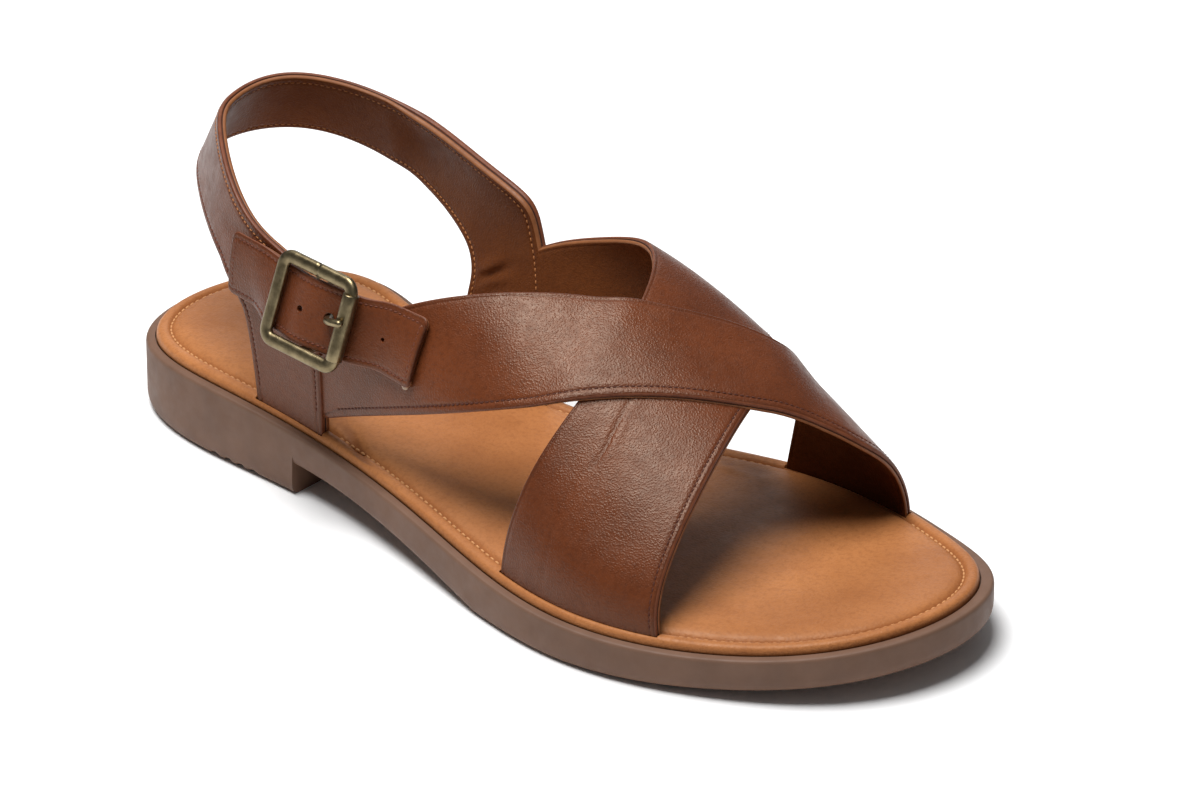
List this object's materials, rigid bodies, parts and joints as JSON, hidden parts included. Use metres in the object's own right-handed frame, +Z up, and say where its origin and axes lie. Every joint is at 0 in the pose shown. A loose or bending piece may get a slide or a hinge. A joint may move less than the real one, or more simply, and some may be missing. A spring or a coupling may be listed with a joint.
{
  "type": "leather sandal",
  "caption": "Flat leather sandal for the right foot: crossed forefoot straps, heel sling with a side buckle, padded footbed and a rubber sole with a low heel.",
  "frame": {"origin": "on the floor under the middle of the sole's plan box", "axes": "+X from the heel to the toe, +Y to the inner side of the right foot, +Z up"},
  "size_m": [0.256, 0.1036, 0.0827],
  "materials": {
    "rubber": "matte brown-grey moulded rubber",
    "insole_leather": "tan smooth leather, slightly burnished",
    "strap_leather": "brown grained leather with a soft sheen",
    "billet_leather": "brown grained leather",
    "tab_leather": "brown leather",
    "frame_brass": "antique brass, satin",
    "roller_brass": "antique brass, satin",
    "prong_brass": "antique brass, satin"
  },
  "bodies": {
    "root": {"outsole": "rubber", "insole": "insole_leather", "upper": "strap_leather", "buckle_strap": "billet_leather", "buckle_tab": "tab_leather", "buckle_frame": "frame_brass", "buckle_roller": "roller_brass", "buckle_prong": "prong_brass"}
  },
  "joints": []
}
